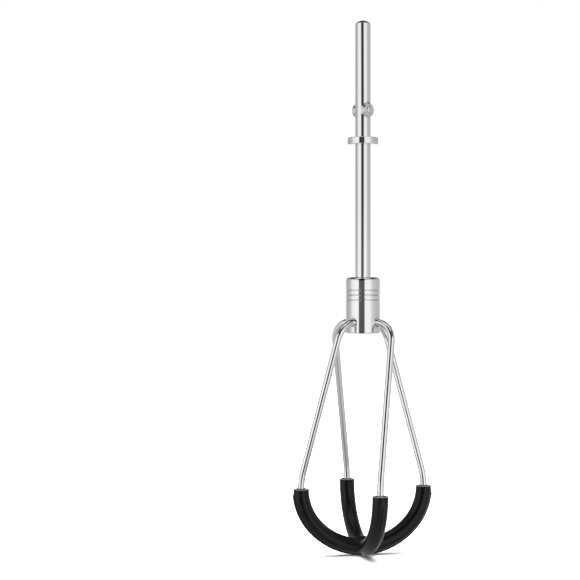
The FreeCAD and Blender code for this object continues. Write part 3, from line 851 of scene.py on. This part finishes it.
def studio_world(studio):
    """White to the camera, even light for the object, and a ring of soft boxes for gloss.

    The ring has a dark gap on the side of the camera's place.
    """
    world = bpy.data.worlds.new("studio")
    world.use_nodes = True
    tree = world.node_tree
    tree.nodes.clear()
    new = tree.nodes.new
    bpy.context.scene.world = world

    toward = Vector((studio.camera_place[0], studio.camera_place[1], 0)).normalized()
    aside = Vector((-toward.y, toward.x, 0))
    place = new("ShaderNodeTexCoord").outputs["Generated"]

    def along(direction):
        node = new("ShaderNodeVectorMath")
        node.operation = "DOT_PRODUCT"
        tree.links.new(place, node.inputs[0])
        node.inputs[1].default_value = direction
        return node.outputs["Value"]

    def add(first, second):
        return math_node(tree, "ADD", first, second)

    def times(first, second):
        return math_node(tree, "MULTIPLY", first, second)

    def rest_of(part):
        return math_node(tree, "SUBTRACT", 1.0, part)

    turn = math_node(tree, "ARCTAN2", along(aside), along(toward))
    share = math_node(tree, "MULTIPLY_ADD", turn, 0.5 / math.pi)
    share.node.inputs[2].default_value = 0.5
    soft_boxes = horizon_levels(tree, share, SOFT_BOXES)
    wide_gap = horizon_levels(tree, share, WIDE_GAP)
    height = along(UP)
    off_level = math_node(tree, "ABSOLUTE", height)

    # The gap is wider away from the level, and a dull wall stands over the boxes behind
    widening = map_range(tree, off_level, GAP_WIDENS, WHOLE)
    widened = add(rest_of(widening), times(wide_gap, widening))
    behind = map_range(tree, math_node(tree, "ABSOLUTE", turn), WALL_TURN, (0.0, WALL_SHADE))
    over_wall = times(behind, map_range(tree, height, WALL_STARTS, WHOLE))
    ring = times(times(soft_boxes, widened), rest_of(over_wall))

    # Then a box overhead, a faint haze at the level and a duller ground below
    side_boxes = map_range(tree, height, SIDE_BOXES_STOP, (1.0, OVER_SIDE_BOXES))
    top_box = map_range(tree, height, TOP_BOX_STARTS, (0.0, TOP_BOX_LEVEL))
    haze = map_range(tree, off_level, HAZE_BAND, (HAZE_LEVEL, 0.0))
    above = add(times(ring, add(side_boxes, top_box)), haze)
    below = map_range(tree, height, GROUND_STOPS, (1.0, 0.0))
    ground = map_range(tree, soft_boxes, (0.0, BRIGHTEST_BOX), GROUND_LEVELS)
    gloss = add(times(above, rest_of(below)), times(below, ground))

    rays = new("ShaderNodeLightPath")
    white = new("ShaderNodeBackground")
    even = new("ShaderNodeBackground")
    even.inputs["Strength"].default_value = studio.world_level
    boxes = new("ShaderNodeBackground")
    tree.links.new(gloss, boxes.inputs["Strength"])
    for node in (white, even, boxes):
        node.inputs["Color"].default_value = (1, 1, 1, 1)
    inner, outer = new("ShaderNodeMixShader"), new("ShaderNodeMixShader")
    link(tree, rays, "Is Glossy Ray", inner, "Fac")
    link(tree, even, "Background", inner, 1)
    link(tree, boxes, "Background", inner, 2)
    link(tree, rays, "Is Camera Ray", outer, "Fac")
    link(tree, inner, "Shader", outer, 1)
    link(tree, white, "Background", outer, 2)
    link(tree, outer, "Shader", new("ShaderNodeOutputWorld"), "Surface")


def floor_finish():
    """White paper that keeps the object's shadow and glows to the camera, dimmer near the axis as
    painted shade.
    """
    material, tree, shader = new_material("white_paper")
    shader.inputs["Base Color"].default_value = PAPER
    shader.inputs["Roughness"].default_value = 0.9
    shader.inputs["Specular IOR Level"].default_value = 0.1
    rays = tree.nodes.new("ShaderNodeLightPath")
    glow = tree.nodes.new("ShaderNodeEmission")
    flat = tree.nodes.new("ShaderNodeVectorMath")
    flat.operation = "MULTIPLY"
    flat.inputs[1].default_value = (1, 1, 0)
    tree.links.new(object_coordinates(tree), flat.inputs[0])
    distance = tree.nodes.new("ShaderNodeVectorMath")
    distance.operation = "LENGTH"
    link(tree, flat, "Vector", distance, 0)
    # Less glow near the axis: painted shade round the foot
    near = map_range(tree, distance.outputs["Value"], NEAR_SPAN, NEAR_GLOW)
    far = map_range(tree, distance.outputs["Value"], FAR_SPAN, FAR_GLOW)
    fade = math_node(tree, "ADD", near, far)
    seen = math_node(tree, "MULTIPLY", rays.outputs["Is Camera Ray"], fade)
    tree.links.new(seen, glow.inputs["Strength"])
    both = tree.nodes.new("ShaderNodeAddShader")
    link(tree, shader, "BSDF", both, 0)
    link(tree, glow, "Emission", both, 1)
    output = next(node for node in tree.nodes if node.type == "OUTPUT_MATERIAL")
    link(tree, both, "Shader", output, "Surface")
    return material


def make_floor():
    mesh = bpy.data.meshes.new("floor")
    corners = [
        (side * FLOOR_HALF, end * FLOOR_HALF, EDGE_LOW.z)
        for side, end in ((-1, -1), (1, -1), (1, 1), (-1, 1))]
    mesh.from_pydata(corners, [], [(0, 1, 2, 3)])
    mesh.materials.append(floor_finish())
    floor = bpy.data.objects.new("floor", mesh)
    floor.visible_glossy = False
    bpy.context.scene.collection.objects.link(floor)


def make_camera(studio):
    data = bpy.data.cameras.new("camera")
    data.sensor_fit = "HORIZONTAL"
    data.angle = studio.field_of_view
    data.clip_start, data.clip_end = CLIP_START, CLIP_END
    camera = bpy.data.objects.new("camera", data)
    camera.location = studio.camera_place
    camera.rotation_euler = (QUARTER, 0, -studio.camera_heading)
    bpy.context.scene.collection.objects.link(camera)
    bpy.context.scene.camera = camera


def make_top_lamp(studio):
    data = bpy.data.lights.new("top_lamp", "AREA")
    data.shape = "DISK"
    data.size = LAMP_DIAMETER
    data.energy = studio.top_lamp_power
    lamp = bpy.data.objects.new("top_lamp", data)
    lamp.location = (0, 0, EDGE_LOW.z + LAMP_HEIGHT)
    lamp.visible_glossy = False
    bpy.context.scene.collection.objects.link(lamp)


# Operators, one for each group of pieces and one for the stage
class BEATER_OT_turned_parts(bpy.types.Operator):
    """Gives the drive shaft, the collar and the hub their turned steel finish"""

    bl_idname = "beater.turned_parts"
    bl_label = "Finish Turned Parts"

    def execute(self, context):
        _, colours, _ = settings()
        material = turned_steel_finish(tuple(colours.turned_steel))
        for name in ("drive_shaft", "collar", "hub"):
            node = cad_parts[name]
            node.data.materials.clear()
            node.data.materials.append(material)
        make_lug_buttons(material)
        return {"FINISHED"}


class BEATER_OT_wires(bpy.types.Operator):
    """Draws the two wire loops along their centre lines"""

    bl_idname = "beater.wires"
    bl_label = "Draw Wire Loops"

    def execute(self, context):
        sizes, colours, _ = settings()
        material = drawn_wire_finish(tuple(colours.drawn_wire))
        tree = wire_tree(material)
        for name, side, turn in (("under", 1, 0.0), ("over", -1, QUARTER)):
            spin = Matrix.Rotation(turn, 3, "Z")
            points = [spin @ point for point in loop_points(sizes, wire_side_radius(sizes, side))]
            node = f"wire_loop_{name}"
            make_wire(f"drawn_wire_{name}", node, points, sizes.wire_diameter, tree, material)
        return {"FINISHED"}


class BEATER_OT_moulded_edge(bpy.types.Operator):
    """Moulds the black silicone edge over the wires' bottoms"""

    bl_idname = "beater.moulded_edge"
    bl_label = "Mould Flex Edge"

    def execute(self, context):
        sizes, colours, _ = settings()
        make_moulded_edge(sizes, silicone_finish(tuple(colours.silicone)))
        return {"FINISHED"}


class BEATER_OT_stage(bpy.types.Operator):
    """Sets up the camera, the white floor and the soft studio light"""

    bl_idname = "beater.stage"
    bl_label = "Set Up Stage"

    def execute(self, context):
        _, _, studio = settings()
        make_camera(studio)
        make_floor()
        studio_world(studio)
        make_top_lamp(studio)
        context.scene.view_settings.view_transform = "Standard"
        return {"FINISHED"}


class BEATER_PT_panel(bpy.types.Panel):
    """Lists the beater's sizes, colours and steps in the sidebar"""

    bl_idname = "BEATER_PT_panel"
    bl_label = "Flex Edge Beater"
    bl_space_type = "VIEW_3D"
    bl_region_type = "UI"
    bl_category = "Beater"

    def draw(self, context):
        for group in settings():
            box = self.layout.box()
            for name in group.__annotations__:
                box.prop(group, name)
        for step in STEPS:
            self.layout.operator(step.bl_idname)


STEPS = (BEATER_OT_turned_parts, BEATER_OT_wires, BEATER_OT_moulded_edge, BEATER_OT_stage)
GROUPS = {
    "beater_sizes": BeaterSizes,
    "beater_colours": BeaterColours,
    "beater_studio": BeaterStudio,
}


def register():
    for group in GROUPS.values():
        bpy.utils.register_class(group)
    for name, group in GROUPS.items():
        setattr(bpy.types.Scene, name, bpy.props.PointerProperty(type=group))
    for step in STEPS:
        bpy.utils.register_class(step)
    bpy.utils.register_class(BEATER_PT_panel)


def unregister():
    bpy.utils.unregister_class(BEATER_PT_panel)
    for step in reversed(STEPS):
        bpy.utils.unregister_class(step)
    for name, group in GROUPS.items():
        delattr(bpy.types.Scene, name)
        bpy.utils.unregister_class(group)


def main():
    register()
    bpy.ops.beater.turned_parts()
    bpy.ops.beater.wires()
    bpy.ops.beater.moulded_edge()
    bpy.ops.beater.stage()


if __name__ == "__main__":
    main()
